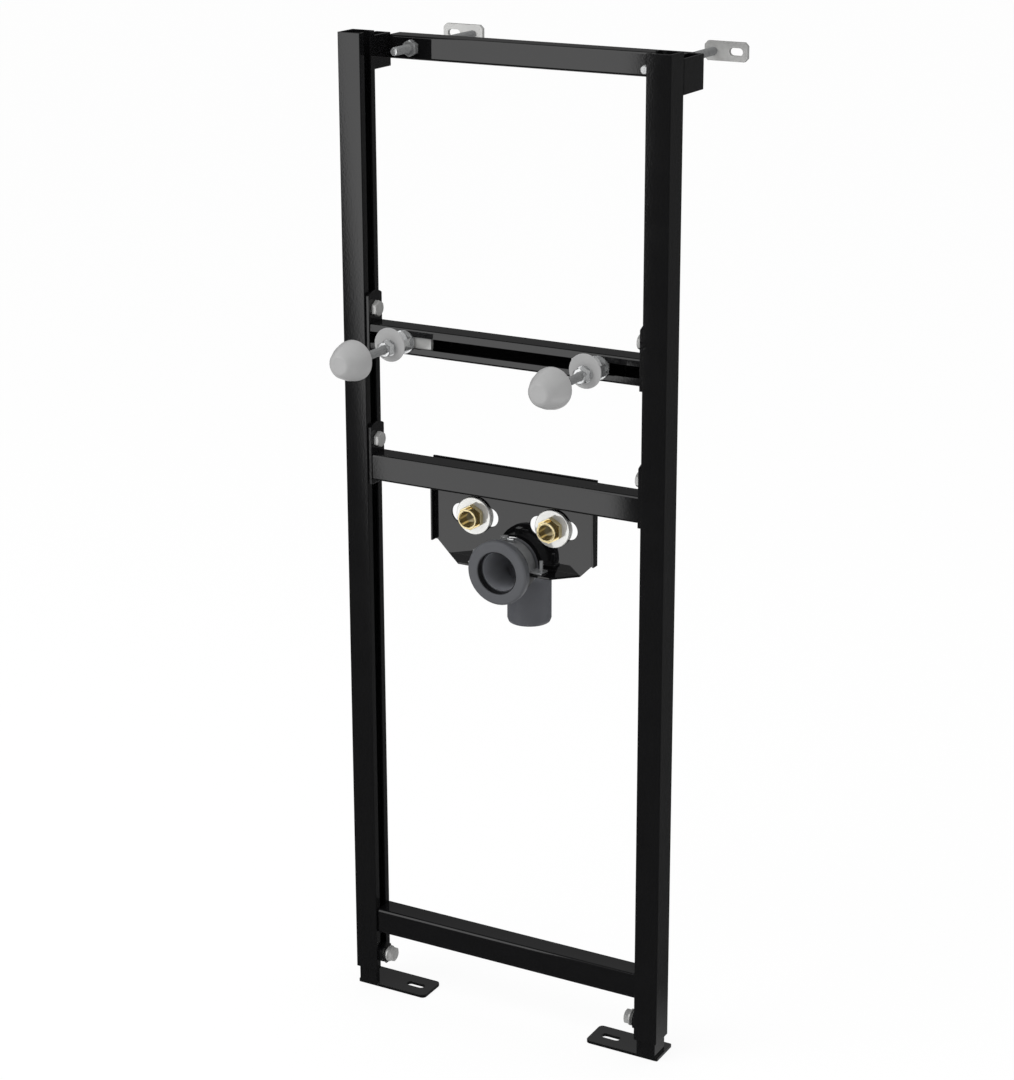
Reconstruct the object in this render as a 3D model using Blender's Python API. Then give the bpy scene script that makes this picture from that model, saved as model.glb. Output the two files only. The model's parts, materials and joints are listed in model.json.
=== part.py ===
# Washbasin installation frame for a wall-hung basin: two slotted posts on clamped feet,
# three rails between them, a rear rail tied to the wall, two basin studs, a pipe plate
# with two brass pipe sleeves, and a drain elbow in its clamp.
# Metres, +Z up, +Y towards the wall. The frame is drawn about its middle plane and then
# hung on an empty that puts the world's origin under the left foot plate.
import math

import bmesh
import bpy
from mathutils import Matrix

# overall
FRAME_WIDTH = 0.420
FRAME_HEIGHT = 1.200
CONTACT = 0.0003
CUT_OVERRUN = 0.002
MERGE_DISTANCE = 0.000003

# sheet and profiles
POST_WIDTH = 0.030
POST_DEPTH = 0.0325
POST_WALL = 0.0025
POST_SLOT = 0.014
PROFILE_RADIUS = 0.001
PROFILE_INNER_RADIUS = 0.0006
POST_BOTTOM = 0.024
RAIL_HEIGHT = 0.032
RAIL_DEPTH = 0.029
RAIL_FRONT = 0.0037
RAIL_WALL = 0.002
RAIL_SLOT = 0.0135

# heights of the rails above the floor, to their undersides
BOTTOM_RAIL_Z = 0.076
PIPE_RAIL_Z = 0.671
BOLT_RAIL_Z = 0.8305

# feet
LEG_CLEARANCE = 0.0004
LEG_WALL = 0.002
LEG_TOP = 0.250
LEG_LIP = 0.0078
LEG_RETURN = 0.0095
FOOT_LENGTH = 0.0965
FOOT_DEPTH = 0.041
FOOT_THICKNESS = 0.004
FOOT_SETBACK = 0.004
FOOT_CORNER = 0.0055
FOOT_OUTER_CORNER = 0.002
FOOT_SLOT_LENGTH = 0.0245
FOOT_SLOT_WIDTH = 0.0095
FOOT_SLOT_FROM_END = 0.0245
CLAMP_Z = 0.0435
WELD_NUT_FLATS = 0.024
WELD_NUT_THICKNESS = 0.005
WELD_SINK = 0.0006
CLAMP_STANDOFF = 0.004

# metric fasteners
M10 = 0.010
M10_CLEARANCE = 0.0006
M10_FLATS = 0.017
M10_HEAD = 0.0064
M10_NUT = 0.008
M10_WASHER_RADIUS = 0.010
M10_WASHER_THICKNESS = 0.002
HEX_CHAMFER = 0.0009
THREAD_CHAMFER = 0.0006
ROUND_SEGMENTS = 24

# end brackets of the two upper rails
BRACKET_THICKNESS = 0.004
BRACKET_FRONT = 0.0025
BRACKET_DEPTH = 0.029
BRACKET_BELOW = 0.005
BRACKET_ABOVE = 0.033
BRACKET_CROWN = 0.0045
BRACKET_BOLT_ABOVE = 0.01625
BOLT_BEHIND_PLATE = 0.018

# rear rail, its corner brackets and the wall rods
CORNER_WIDTH = 0.020
CORNER_REACH = 0.0515
CORNER_HEIGHT = 0.039
CORNER_TOP_DROP = 0.008
CORNER_WALL = 0.003
CORNER_RADIUS = 0.0015
TOP_RAIL_HEIGHT = 0.028
TOP_RAIL_DEPTH = 0.026
TOP_RAIL_FRONT = 0.080
TOP_RAIL_DROP = 0.010
ROD_FROM_SIDE = 0.051
ROD_FRONT = 0.039
WALL_FACE = 0.228
WALL_PLATE_THICKNESS = 0.005
WALL_PLATE_LENGTH = 0.054
WALL_PLATE_HEIGHT = 0.0225
WALL_PLATE_CORNER = 0.004
ROD_FROM_PLATE_END = 0.0125
WALL_SLOT_LENGTH = 0.017
WALL_SLOT_WIDTH = 0.009
WALL_SLOT_FROM_END = 0.0144

# basin studs
LEFT_STUD_FROM_POST = 0.051
RIGHT_STUD_FROM_POST = 0.056
STUD_FRONT = -0.118
CAP_RADIUS = 0.0235
CAP_REAR = -0.104
CAP_LENGTH = 0.034
CAP_RISE = 0.0019
# radius and height of the cap's bowed side and flat tip, as shares of the cap's own
CAP_SHARES = ((1, 0), (1, 0.12), (0.89, 0.45), (0.68, 0.80), (0.52, 0.95), (0.38, 1))
BASIN_WASHER_RADIUS = 0.0201
BASIN_WASHER_THICKNESS = 0.0015
BASIN_WASHER_FRONT = -0.029
BASIN_WASHER_RISE = 0.003
BASIN_NUT = 0.0135
LOCK_NUT_FLATS = 0.0232
LOCK_FLANGE_RADIUS = 0.0141
LOCK_FLANGE = 0.0025
SLIDE_PLATE_LENGTH = 0.045
SLIDE_PLATE_SHIFT = 0.0125
SLIDE_PLATE_THICKNESS = 0.005
SLIDE_CLEARANCE = 0.0005

# pipe plate and its fittings
PLATE_WIDTH = 0.218
PLATE_THICKNESS = 0.0025
PLATE_BOTTOM = 0.5835
PLATE_CHAMFER = 0.017
PLATE_RELIEF = 0.005
PLATE_TOP_RISE = 0.0012
SIDE_FLANGE_DEPTH = 0.0075
BOTTOM_FLANGE_DEPTH = 0.026
FITTING_X = 0.0525
FITTING_Z = 0.638
FITTING_SLOT_LENGTH = 0.063
FITTING_SLOT_WIDTH = 0.0235
FITTING_RADIUS = 0.011
FITTING_BORE_RADIUS = 0.0095
FITTING_PROJECTION = 0.0193
FITTING_HEX_FLATS = 0.027
FITTING_HEX_LENGTH = 0.008
FITTING_TAIL = 0.020
FITTING_WASHER_RADIUS = 0.023
FITTING_WASHER_THICKNESS = 0.0037
BACK_WASHER_RADIUS = 0.023
BACK_WASHER_THICKNESS = 0.002

# drain elbow
DRAIN_Z = 0.5864
DRAIN_RADIUS = 0.0267
DRAIN_WALL = 0.003
DRAIN_BEND = 0.0285
DRAIN_BACK = 0.0714
DRAIN_OUTLET_Z = 0.5035
SPIGOT_BEVEL_LENGTH = 0.0045
SPIGOT_BEVEL_DEPTH = 0.0016
SOCKET_RADIUS = 0.031
SOCKET_FRONT = 0.0006
SOCKET_REAR = 0.036
SOCKET_CLEARANCE = 0.0015
SEAL_RADIUS = 0.039
SEAL_BORE_RADIUS = 0.0257
SEAL_LENGTH = 0.010
SEAL_ROUND = 0.0035
SEAL_LIP_ROUND = 0.0015
STRAP_WIDTH = 0.016
STRAP_THICKNESS = 0.002
STRAP_FRONT = 0.010
CLAMP_STUD_FROM_STRAP = 0.0114
CLAMP_STUD_RADIUS = 0.0022
CLAMP_STUD_ABOVE = 0.0127

# sizes that follow from the driving ones
HALF_WIDTH = FRAME_WIDTH / 2
POST_INNER_X = HALF_WIDTH - POST_WIDTH
POST_MIDDLE_X = HALF_WIDTH - POST_WIDTH / 2
POST_MIDDLE_Y = POST_DEPTH / 2
RAIL_BACK = RAIL_FRONT + RAIL_DEPTH
BRACKET_INNER_X = POST_INNER_X - CONTACT - BRACKET_THICKNESS
TOP_RAIL_Z = FRAME_HEIGHT - TOP_RAIL_DROP - TOP_RAIL_HEIGHT
ROD_X = HALF_WIDTH - ROD_FROM_SIDE
ROD_Z = TOP_RAIL_Z + TOP_RAIL_HEIGHT / 2
STUD_Z = BOLT_RAIL_Z + RAIL_HEIGHT / 2
LEFT_STUD_X = -POST_INNER_X + LEFT_STUD_FROM_POST
RIGHT_STUD_X = POST_INNER_X - RIGHT_STUD_FROM_POST


def arc(centre_u, centre_v, radius, start, end, steps):
    points = []
    for step in range(steps + 1):
        angle = math.radians(start + (end - start) * step / steps)
        points.append((centre_u + radius * math.cos(angle), centre_v + radius * math.sin(angle)))
    return points


def clipped_outline(u0, u1, v0, v1, corner):
    # a rectangle with its four corners cut off at 45 degrees
    return [
        (u0 + corner, v0), (u1 - corner, v0), (u1, v0 + corner), (u1, v1 - corner),
        (u1 - corner, v1), (u0 + corner, v1), (u0, v1 - corner), (u0, v0 + corner),
    ]


def crown(start, end, shoulder, rise, steps=8):
    # the shallow arc, drawn from end to start, that rises between two equal shoulders
    half = (end - start) / 2
    radius = (half * half + rise * rise) / (2 * rise)
    reach = math.degrees(math.asin(half / radius))
    return arc(start + half, shoulder + rise - radius, radius, 90 - reach, 90 + reach, steps)


def channel_outline(width, depth, wall, slot, radius, steps=2):
    # a lipped channel whose slot faces +U, its web at U = 0, its depth along V from 0
    inner = max(radius - wall, PROFILE_INNER_RADIUS)
    lip = (depth - slot) / 2
    outer = (
        [(width, lip)]
        + arc(width - radius, radius, radius, 0, -90, steps)
        + arc(radius, radius, radius, 270, 180, steps)
        + arc(radius, depth - radius, radius, 180, 90, steps)
        + arc(width - radius, depth - radius, radius, 90, 0, steps)
        + [(width, depth - lip)]
    )
    inset = wall + inner
    inside = (
        [(width - wall, depth - lip)]
        + arc(width - inset, depth - inset, inner, 0, 90, 2)
        + arc(inset, depth - inset, inner, 90, 180, 2)
        + arc(inset, inset, inner, 180, 270, 2)
        + arc(width - inset, inset, inner, 270, 360, 2)
        + [(width - wall, lip)]
    )
    return outer + inside


def hexagon(flats):
    return arc(0, 0, flats / math.sqrt(3), 90, 390, 5)


def obround(centre_u, centre_v, length, width, steps=8):
    # a slot with round ends, long along U
    reach = (length - width) / 2
    return (
        arc(centre_u + reach, centre_v, width / 2, -90, 90, steps)
        + arc(centre_u - reach, centre_v, width / 2, 90, 270, steps)
    )


def prism(outline, axis, start, end):
    # extrudes an outline along X (outline in Y,Z), Y (outline in X,Z) or Z (outline in X,Y)
    place = {
        "X": lambda u, v: (start, u, v),
        "Y": lambda u, v: (u, start, v),
        "Z": lambda u, v: (u, v, start),
    }[axis]
    shift = {"X": (end - start, 0, 0), "Y": (0, end - start, 0), "Z": (0, 0, end - start)}[axis]
    bm = bmesh.new()
    cap = bm.faces.new([bm.verts.new(place(u, v)) for u, v in outline])
    moved = bmesh.ops.extrude_face_region(bm, geom=[cap])
    verts = [item for item in moved["geom"] if isinstance(item, bmesh.types.BMVert)]
    bmesh.ops.translate(bm, verts=verts, vec=shift)
    bmesh.ops.recalc_face_normals(bm, faces=bm.faces)
    return bm


def turned(profile, segments=ROUND_SEGMENTS):
    # spins a closed profile of (radius, height) points about Z
    bm = bmesh.new()
    verts = [bm.verts.new((radius, 0, height)) for radius, height in profile]
    for first, second in zip(verts, verts[1:] + verts[:1]):
        if first.co.x > 0 or second.co.x > 0:
            bm.edges.new((first, second))
    geometry = list(bm.verts) + list(bm.edges)
    bmesh.ops.spin(bm, geom=geometry, cent=(0, 0, 0), axis=(0, 0, 1), angle=math.tau, steps=segments)
    bmesh.ops.remove_doubles(bm, verts=bm.verts, dist=MERGE_DISTANCE)
    bmesh.ops.recalc_face_normals(bm, faces=bm.faces)
    return bm


def cylinder(radius, start, end, segments=ROUND_SEGMENTS):
    return turned([(0, start), (radius, start), (radius, end), (0, end)], segments)


def tube(radius, bore, start, end, segments=ROUND_SEGMENTS):
    return turned([(bore, start), (radius, start), (radius, end), (bore, end)], segments)


def aimed(bm, axis, location=(0, 0, 0)):
    # turns a shape made along Z to point along the named axis, then moves it
    turns = {
        "X": Matrix.Rotation(math.pi / 2, 4, "Y"),
        "-X": Matrix.Rotation(-math.pi / 2, 4, "Y"),
        "Y": Matrix.Rotation(-math.pi / 2, 4, "X"),
        "-Y": Matrix.Rotation(math.pi / 2, 4, "X"),
        "Z": Matrix.Identity(4),
    }
    bm.transform(Matrix.Translation(location) @ turns[axis])
    return bm


def mirrored(bm):
    copy = bm.copy()
    copy.transform(Matrix.Scale(-1, 4, (1, 0, 0)))
    bmesh.ops.reverse_faces(copy, faces=copy.faces)
    return copy


def temporary(bm):
    mesh = bpy.data.meshes.new("temporary")
    bm.to_mesh(mesh)
    bm.free()
    thing = bpy.data.objects.new("temporary", mesh)
    bpy.context.scene.collection.objects.link(thing)
    return thing


def combined(first, second, operation):
    # joins, cuts or intersects two closed shapes with an exact Boolean
    base = temporary(first)
    other = temporary(second)
    modifier = base.modifiers.new("combine", "BOOLEAN")
    modifier.operation = operation
    modifier.solver = "EXACT"
    modifier.object = other
    evaluated = base.evaluated_get(bpy.context.evaluated_depsgraph_get())
    result = bmesh.new()
    result.from_mesh(evaluated.to_mesh())
    evaluated.to_mesh_clear()
    for thing in (base, other):
        mesh = thing.data
        bpy.data.objects.remove(thing)
        bpy.data.meshes.remove(mesh)
    return result


def joined(first, second):
    return combined(first, second, "UNION")


def cut(first, second):
    return combined(first, second, "DIFFERENCE")


def hex_piece(flats, height, bore=0):
    # a hexagon of the given height from Z = 0, its corners turned down at the far end
    radius = flats / math.sqrt(3)
    blank = [
        (0, -height),
        (radius + HEX_CHAMFER, -height),
        (radius + HEX_CHAMFER, height - 2 * HEX_CHAMFER),
        (flats / 2 - HEX_CHAMFER / 2, height),
        (0, height),
    ]
    body = combined(prism(hexagon(flats), "Z", 0, height), turned(blank), "INTERSECT")
    if bore:
        body = cut(body, cylinder(bore, -CUT_OVERRUN, height + CUT_OVERRUN))
    return body


def rod_profile(start, end):
    # an M10 bar along Z with its thread turned down at the start
    return [
        (0, start),
        (M10 / 2 - THREAD_CHAMFER, start),
        (M10 / 2, start + THREAD_CHAMFER),
        (M10 / 2, end),
        (0, end),
    ]


def bolt(length, flange_radius=0, flange=0):
    # an M10 screw along -Z from its seat at Z = 0, its head above, with an optional washer face
    body = aimed(hex_piece(M10_FLATS, M10_HEAD + flange / 2), "Z", (0, 0, flange / 2))
    if flange:
        body = joined(body, cylinder(flange_radius, 0, flange))
    return joined(body, turned(rod_profile(-length, M10_HEAD / 2)))


def material(name, colour, roughness, metallic):
    surface = bpy.data.materials.new(name)
    surface.use_nodes = True
    shader = surface.node_tree.nodes["Principled BSDF"]
    shader.inputs["Base Color"].default_value = (*colour, 1)
    shader.inputs["Roughness"].default_value = roughness
    shader.inputs["Metallic"].default_value = metallic
    return surface


def piece(name, bm, surface, smooth=False):
    mesh = bpy.data.meshes.new(name)
    bm.to_mesh(mesh)
    bm.free()
    mesh.materials.append(surface)
    if smooth:
        mesh.shade_smooth()
        mesh.set_sharp_from_angle(angle=math.radians(30))
    thing = bpy.data.objects.new(name, mesh)
    bpy.context.scene.collection.objects.link(thing)
    thing.parent = FRAME
    return thing


def pair(name, left, surface, smooth=False):
    right = mirrored(left)
    piece("left_" + name, left, surface, smooth)
    piece("right_" + name, right, surface, smooth)


def posts(surface):
    # slotted channels, slots facing each other, with the clamp nut welded over the slot
    outline = channel_outline(POST_WIDTH, POST_DEPTH, POST_WALL, POST_SLOT, PROFILE_RADIUS)
    post = prism(outline, "Z", POST_BOTTOM, FRAME_HEIGHT)
    post.transform(Matrix.Translation((-HALF_WIDTH, 0, 0)))
    nut = hex_piece(WELD_NUT_FLATS, WELD_NUT_THICKNESS + WELD_SINK, M10 / 2 + M10_CLEARANCE)
    nut.transform(Matrix.Rotation(math.pi / 2, 4, "Z"))
    nut = aimed(nut, "X", (-POST_INNER_X - WELD_SINK, POST_MIDDLE_Y, CLAMP_Z))
    pair("post", joined(post, nut), surface)


def feet(surface):
    # a bent leg that slides in the post, welded on a plate that points inwards
    width = POST_WIDTH - 2 * (POST_WALL + LEG_CLEARANCE)
    depth = POST_DEPTH - 2 * (POST_WALL + LEG_CLEARANCE)
    outline = [
        (width, 0),
        (width, LEG_LIP),
        (width - LEG_WALL, LEG_LIP),
        (width - LEG_WALL, LEG_WALL),
        (LEG_WALL, LEG_WALL),
        (LEG_WALL, depth - LEG_WALL),
        (LEG_RETURN, depth - LEG_WALL),
        (LEG_RETURN, depth),
        (0, depth),
        (0, 0),
    ]
    leg = prism(outline, "Z", FOOT_THICKNESS - WELD_SINK, LEG_TOP)
    inset = POST_WALL + LEG_CLEARANCE
    leg.transform(Matrix.Translation((-HALF_WIDTH + inset, inset, 0)))
    x0, x1 = -HALF_WIDTH, -HALF_WIDTH + FOOT_LENGTH
    y0, y1 = FOOT_SETBACK, FOOT_SETBACK + FOOT_DEPTH
    outer, round_end = FOOT_OUTER_CORNER, FOOT_CORNER
    plate_outline = (
        arc(x1 - round_end, y0 + round_end, round_end, -90, 0, 4)
        + arc(x1 - round_end, y1 - round_end, round_end, 0, 90, 4)
        + arc(x0 + outer, y1 - outer, outer, 90, 180, 3)
        + arc(x0 + outer, y0 + outer, outer, 180, 270, 3)
    )
    plate = prism(plate_outline, "Z", 0, FOOT_THICKNESS)
    slot_x = x1 - FOOT_SLOT_FROM_END
    slot_y = (y0 + y1) / 2
    slot = obround(slot_x, slot_y, FOOT_SLOT_LENGTH, FOOT_SLOT_WIDTH)
    plate = cut(plate, prism(slot, "Z", -CUT_OVERRUN, FOOT_THICKNESS + CUT_OVERRUN))
    pair("foot", joined(plate, leg), surface)


def clamp_bolts(surface):
    # screws through the welded nuts that press the legs' outer webs
    seat = POST_INNER_X - WELD_NUT_THICKNESS - CLAMP_STANDOFF
    tip = HALF_WIDTH - POST_WALL - LEG_CLEARANCE - LEG_WALL - CONTACT
    screw = bolt(tip - seat, M10_WASHER_RADIUS, M10_WASHER_THICKNESS)
    screw.transform(Matrix.Rotation(math.pi / 2, 4, "Z"))
    pair("foot_bolt", aimed(screw, "X", (-seat, POST_MIDDLE_Y, CLAMP_Z)), surface, True)


def rail_shape(half_length, bottom, height, depth, front, opening):
    # a lipped channel along X, its slot towards the front or the rear
    outline = channel_outline(depth, height, RAIL_WALL, RAIL_SLOT, PROFILE_RADIUS)
    if opening == "rear":
        outline = [(front + u, bottom + v) for u, v in outline]
    else:
        outline = [(front + depth - u, bottom + v) for u, v in outline]
    return prism(outline, "X", -half_length, half_length)


def rails(surface):
    ends = BRACKET_INNER_X - CONTACT
    low = rail_shape(POST_INNER_X - CONTACT, BOTTOM_RAIL_Z, RAIL_HEIGHT, RAIL_DEPTH, RAIL_FRONT, "rear")
    piece("bottom_rail", low, surface)
    middle = rail_shape(ends, PIPE_RAIL_Z, RAIL_HEIGHT, RAIL_DEPTH, RAIL_FRONT, "rear")
    piece("pipe_rail", middle, surface)
    high = rail_shape(ends, BOLT_RAIL_Z, RAIL_HEIGHT, RAIL_DEPTH, RAIL_FRONT, "front")
    piece("bolt_rail", high, surface)


def end_bracket(rail_z):
    # the plate that a rail is welded to, with one bolt hole above the rail
    low = rail_z - BRACKET_BELOW
    shoulder = rail_z + RAIL_HEIGHT + BRACKET_ABOVE
    rear = BRACKET_FRONT + BRACKET_DEPTH
    outline = [(BRACKET_FRONT, low), (rear, low)] + crown(BRACKET_FRONT, rear, shoulder, BRACKET_CROWN)
    plate = prism(outline, "X", -POST_INNER_X + CONTACT, -BRACKET_INNER_X)
    hole = cylinder(M10 / 2 + M10_CLEARANCE, 0, BRACKET_THICKNESS + 2 * CUT_OVERRUN)
    place = (-POST_INNER_X + CONTACT - CUT_OVERRUN, POST_MIDDLE_Y, bracket_bolt_z(rail_z))
    return cut(plate, aimed(hole, "X", place))


def bracket_bolt_z(rail_z):
    return rail_z + RAIL_HEIGHT + BRACKET_BOLT_ABOVE


def brackets(surface, screw_surface):
    for name, rail_z in (("bolt_rail", BOLT_RAIL_Z), ("pipe_rail", PIPE_RAIL_Z)):
        pair(name + "_bracket", end_bracket(rail_z), surface)
        screw = bolt(BRACKET_THICKNESS + BOLT_BEHIND_PLATE)
        screw.transform(Matrix.Rotation(math.pi / 2, 4, "Z"))
        place = (-BRACKET_INNER_X + CONTACT, POST_MIDDLE_Y, bracket_bolt_z(rail_z))
        pair(name + "_bolt", aimed(screw, "X", place), screw_surface, True)


def corner_brackets(surface):
    # bent straps behind the posts that carry the rear rail
    x0 = -HALF_WIDTH
    x1 = x0 + CORNER_WIDTH
    y0 = POST_DEPTH + CONTACT
    y1 = POST_DEPTH + CORNER_REACH
    outline = (
        [(x0, y0), (x0 + CORNER_WALL, y0), (x0 + CORNER_WALL, y1 - CORNER_WALL)]
        + [(x1 - CORNER_WALL, y1 - CORNER_WALL), (x1 - CORNER_WALL, y0), (x1, y0)]
        + arc(x1 - CORNER_RADIUS, y1 - CORNER_RADIUS, CORNER_RADIUS, 0, 90, 3)
        + arc(x0 + CORNER_RADIUS, y1 - CORNER_RADIUS, CORNER_RADIUS, 90, 180, 3)
    )
    top = FRAME_HEIGHT - CORNER_TOP_DROP
    pair("corner_bracket", prism(outline, "Z", top - CORNER_HEIGHT, top), surface)


def top_rail(surface):
    half = HALF_WIDTH - CORNER_WIDTH - CONTACT
    rail = rail_shape(half, TOP_RAIL_Z, TOP_RAIL_HEIGHT, TOP_RAIL_DEPTH, TOP_RAIL_FRONT, "rear")
    for x in (-ROD_X, ROD_X):
        hole = cylinder(M10 / 2 + M10_CLEARANCE, 0, RAIL_WALL + 2 * CUT_OVERRUN)
        rail = cut(rail, aimed(hole, "Y", (x, TOP_RAIL_FRONT - CUT_OVERRUN, ROD_Z)))
    piece("top_rail", rail, surface)


def wall_ties(rod_surface, plate_surface):
    # threaded rods with a nut each side of the rear rail and a slotted plate on the wall
    plate_front = WALL_FACE - WALL_PLATE_THICKNESS
    rod = aimed(turned(rod_profile(ROD_FRONT, plate_front - CONTACT)), "Y", (-ROD_X, 0, ROD_Z))
    pair("wall_rod", rod, rod_surface, True)
    nut_bore = M10 / 2 + CONTACT
    front = aimed(hex_piece(M10_FLATS, M10_NUT, nut_bore), "-Y", (-ROD_X, TOP_RAIL_FRONT - CONTACT, ROD_Z))
    pair("rod_front_nut", front, rod_surface, True)
    back_y = TOP_RAIL_FRONT + TOP_RAIL_DEPTH + CONTACT
    back = aimed(hex_piece(M10_FLATS, M10_NUT, nut_bore), "Y", (-ROD_X, back_y, ROD_Z))
    pair("rod_rear_nut", back, rod_surface, True)
    x1 = -ROD_X + ROD_FROM_PLATE_END
    x0 = x1 - WALL_PLATE_LENGTH
    z0 = ROD_Z - WALL_PLATE_HEIGHT / 2
    z1 = ROD_Z + WALL_PLATE_HEIGHT / 2
    plate = prism(clipped_outline(x0, x1, z0, z1, WALL_PLATE_CORNER), "Y", plate_front, WALL_FACE)
    slot = obround(x0 + WALL_SLOT_FROM_END, ROD_Z, WALL_SLOT_LENGTH, WALL_SLOT_WIDTH)
    plate = cut(plate, prism(slot, "Y", plate_front - CUT_OVERRUN, WALL_FACE + CUT_OVERRUN))
    pair("wall_plate", plate, plate_surface)


def basin_studs(zinc, plastic):
    for side, x in (("left", LEFT_STUD_X), ("right", RIGHT_STUD_X)):
        place = (x, 0, STUD_Z)
        lips = RAIL_FRONT + RAIL_WALL
        plate_end = lips + SLIDE_CLEARANCE + SLIDE_PLATE_THICKNESS
        stud = turned(rod_profile(STUD_FRONT, plate_end))
        piece(side + "_basin_stud", aimed(stud, "Y", place), zinc, True)
        height = RAIL_HEIGHT - 2 * (RAIL_WALL + SLIDE_CLEARANCE) - PROFILE_RADIUS
        middle = x - math.copysign(SLIDE_PLATE_SHIFT, x)
        outline = [
            (middle - SLIDE_PLATE_LENGTH / 2, STUD_Z - height / 2),
            (middle + SLIDE_PLATE_LENGTH / 2, STUD_Z - height / 2),
            (middle + SLIDE_PLATE_LENGTH / 2, STUD_Z + height / 2),
            (middle - SLIDE_PLATE_LENGTH / 2, STUD_Z + height / 2),
        ]
        slide = prism(outline, "Y", lips + CONTACT, plate_end)
        hole = aimed(cylinder(M10 / 2 + CONTACT, 0, plate_end + CUT_OVERRUN), "Y", place)
        piece(side + "_slide_plate", cut(slide, hole), zinc)
        washer_rear = BASIN_WASHER_FRONT + BASIN_WASHER_THICKNESS
        lock_length = RAIL_FRONT - CONTACT - (washer_rear + CONTACT)
        lock = flange_nut(LOCK_NUT_FLATS, lock_length, LOCK_FLANGE_RADIUS, LOCK_FLANGE)
        piece(side + "_lock_nut", aimed(lock, "-Y", (x, RAIL_FRONT - CONTACT, STUD_Z)), zinc, True)
        washer = cylinder(BASIN_WASHER_RADIUS, BASIN_WASHER_FRONT, washer_rear, 32)
        washer = aimed(washer, "Y", (x, 0, STUD_Z + BASIN_WASHER_RISE))
        bore = cylinder(M10 / 2 + CONTACT, BASIN_WASHER_FRONT - CUT_OVERRUN, washer_rear + CUT_OVERRUN)
        piece(side + "_basin_washer", cut(washer, aimed(bore, "Y", place)), plastic, True)
        nut = flange_nut(M10_FLATS, BASIN_NUT, M10_WASHER_RADIUS, M10_WASHER_THICKNESS)
        seat = (x, BASIN_WASHER_FRONT - CONTACT, STUD_Z)
        piece(side + "_basin_nut", aimed(nut, "-Y", seat), zinc, True)
        piece(side + "_stud_cap", stud_cap(x), plastic, True)


def flange_nut(flats, length, flange_radius, flange):
    # an M10 nut along Z with a round washer face at Z = 0
    body = aimed(hex_piece(flats, length - flange / 2), "Z", (0, 0, flange / 2))
    body = joined(body, cylinder(flange_radius, 0, flange, 32))
    return cut(body, cylinder(M10 / 2 + CONTACT, -CUT_OVERRUN, length + CUT_OVERRUN))


def stud_cap(x):
    # a blunt plastic cone with a socket for the stud
    outer = [(CAP_RADIUS * radius, CAP_LENGTH * height) for radius, height in CAP_SHARES]
    cone = turned([(0, 0)] + outer + [(0, CAP_LENGTH)], 32)
    cone = aimed(cone, "-Y", (x, CAP_REAR, STUD_Z + CAP_RISE))
    depth = CAP_REAR - STUD_FRONT + CONTACT
    socket = cylinder(M10 / 2 + CONTACT, -CUT_OVERRUN, depth)
    return cut(cone, aimed(socket, "-Y", (x, CAP_REAR, STUD_Z)))


def pipe_plate(surface):
    # a folded plate behind the pipe rail, with side lips, a shelf below and three openings
    y0 = RAIL_BACK + CONTACT
    y1 = y0 + PLATE_THICKNESS
    half = PLATE_WIDTH / 2
    top = PIPE_RAIL_Z + RAIL_HEIGHT + PLATE_TOP_RISE
    shoulder = PLATE_BOTTOM + PLATE_CHAMFER
    shelf_half = half - PLATE_RELIEF - PLATE_CHAMFER
    outline = [
        (-shelf_half, PLATE_BOTTOM),
        (shelf_half, PLATE_BOTTOM),
        (half - PLATE_RELIEF, shoulder),
        (half, shoulder),
        (half, top),
        (-half, top),
        (-half, shoulder),
        (-half + PLATE_RELIEF, shoulder),
    ]
    plate = prism(outline, "Y", y0, y1)
    for x in (-FITTING_X, FITTING_X):
        slot = obround(x, FITTING_Z, FITTING_SLOT_LENGTH, FITTING_SLOT_WIDTH, 12)
        plate = cut(plate, prism(slot, "Y", y0 - CUT_OVERRUN, y1 + CUT_OVERRUN))
    side_top = PIPE_RAIL_Z - CONTACT
    for side in (-1, 1):
        edges = sorted((side * half, side * (half - PLATE_THICKNESS)))
        lip = prism([
            (edges[0], y0 - SIDE_FLANGE_DEPTH),
            (edges[1], y0 - SIDE_FLANGE_DEPTH),
            (edges[1], y1 - WELD_SINK),
            (edges[0], y1 - WELD_SINK),
        ], "Z", shoulder, side_top)
        plate = joined(plate, lip)
    shelf = prism([
        (-shelf_half, y1 - WELD_SINK),
        (-shelf_half, y0),
        (-shelf_half + BOTTOM_FLANGE_DEPTH, y0 - BOTTOM_FLANGE_DEPTH),
        (shelf_half - BOTTOM_FLANGE_DEPTH, y0 - BOTTOM_FLANGE_DEPTH),
        (shelf_half, y0),
        (shelf_half, y1 - WELD_SINK),
    ], "Z", PLATE_BOTTOM, PLATE_BOTTOM + PLATE_THICKNESS)
    plate = joined(plate, shelf)
    arch_radius = SOCKET_RADIUS + SOCKET_CLEARANCE
    arch = cylinder(arch_radius, y0 - BOTTOM_FLANGE_DEPTH - CUT_OVERRUN, y1 + CUT_OVERRUN, 40)
    plate = cut(plate, aimed(arch, "Y", (0, 0, DRAIN_Z)))
    piece("pipe_plate", plate, surface)


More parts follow.
